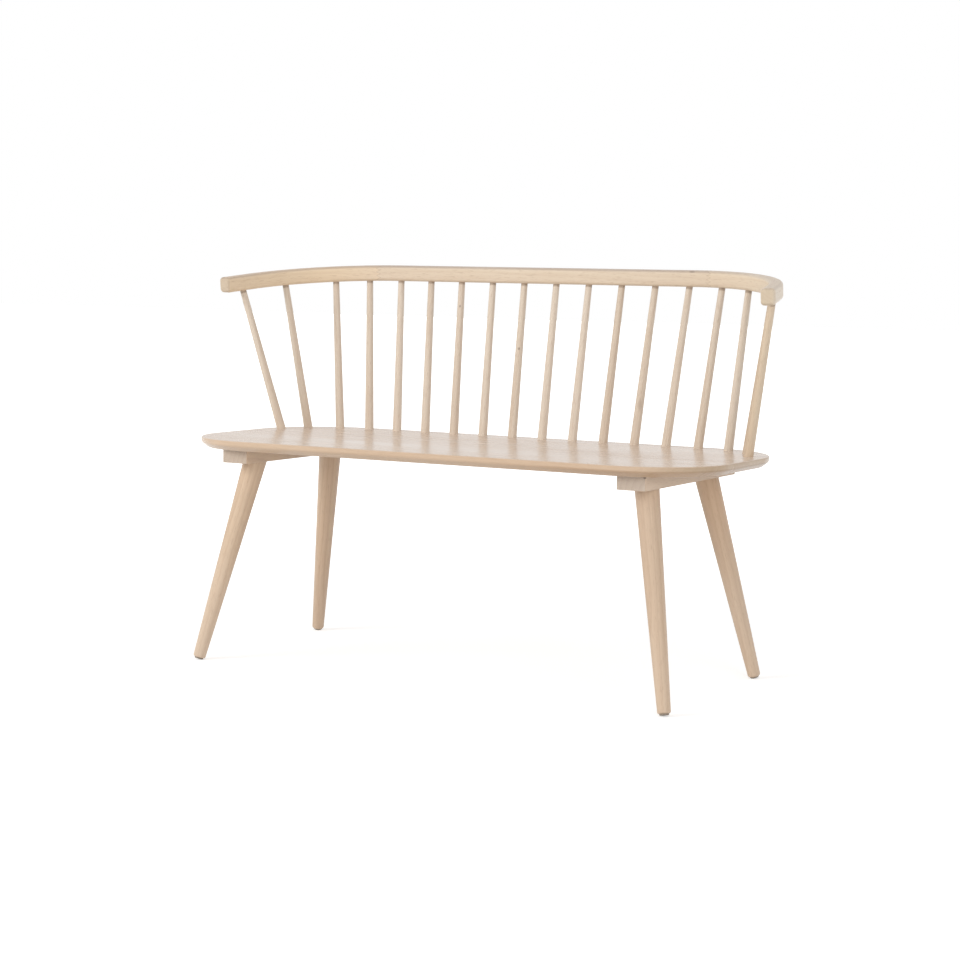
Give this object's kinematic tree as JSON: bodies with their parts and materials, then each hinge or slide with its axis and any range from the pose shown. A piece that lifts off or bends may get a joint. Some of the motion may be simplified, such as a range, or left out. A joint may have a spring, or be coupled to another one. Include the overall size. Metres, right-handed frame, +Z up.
{
  "type": "dining bench",
  "caption": "Spindle-back dining bench with a rounded solid-wood seat board, a bent back rail that comes forward as arms, and splayed turned legs under two battens.",
  "frame": {"origin": "on the floor, under the middle of the bench's bounding box", "axes": "+X along the seat to the sitter's left, which is the right of the picture seen from the front; -Y to the front, +Y to the back rail; +Z up"},
  "size_m": [1.2372, 0.527, 0.8025],
  "materials": {
    "seat_wood": "white-oiled hardwood, satin",
    "rail_wood": "white-oiled hardwood, satin",
    "spindle_wood": "white-oiled hardwood, satin",
    "underframe_wood": "white-oiled hardwood, satin",
    "glide_plastic": "moulded, matt",
    "fastener_steel": "zinc plated"
  },
  "bodies": {
    "root": {"seat_board": "seat_wood", "rail_centre": "rail_wood", "rail_arm_left": "rail_wood", "rail_arm_right": "rail_wood", "spindle_01": "spindle_wood", "spindle_02": "spindle_wood", "spindle_03": "spindle_wood", "spindle_04": "spindle_wood", "spindle_05": "spindle_wood", "spindle_06": "spindle_wood", "spindle_07": "spindle_wood", "spindle_08": "spindle_wood", "spindle_09": "spindle_wood", "spindle_10": "spindle_wood", "spindle_11": "spindle_wood", "spindle_12": "spindle_wood", "spindle_13": "spindle_wood", "spindle_14": "spindle_wood", "spindle_15": "spindle_wood", "spindle_16": "spindle_wood", "spindle_17": "spindle_wood", "spindle_18": "spindle_wood", "batten_left": "underframe_wood", "batten_right": "underframe_wood", "leg_front_left": "underframe_wood", "leg_front_right": "underframe_wood", "leg_back_left": "underframe_wood", "leg_back_right": "underframe_wood", "glide_front_left": "glide_plastic", "glide_front_right": "glide_plastic", "glide_back_left": "glide_plastic", "glide_back_right": "glide_plastic", "leg_bolts": "fastener_steel", "leg_inserts": "fastener_steel", "batten_screws": "fastener_steel"}
  },
  "joints": []
}
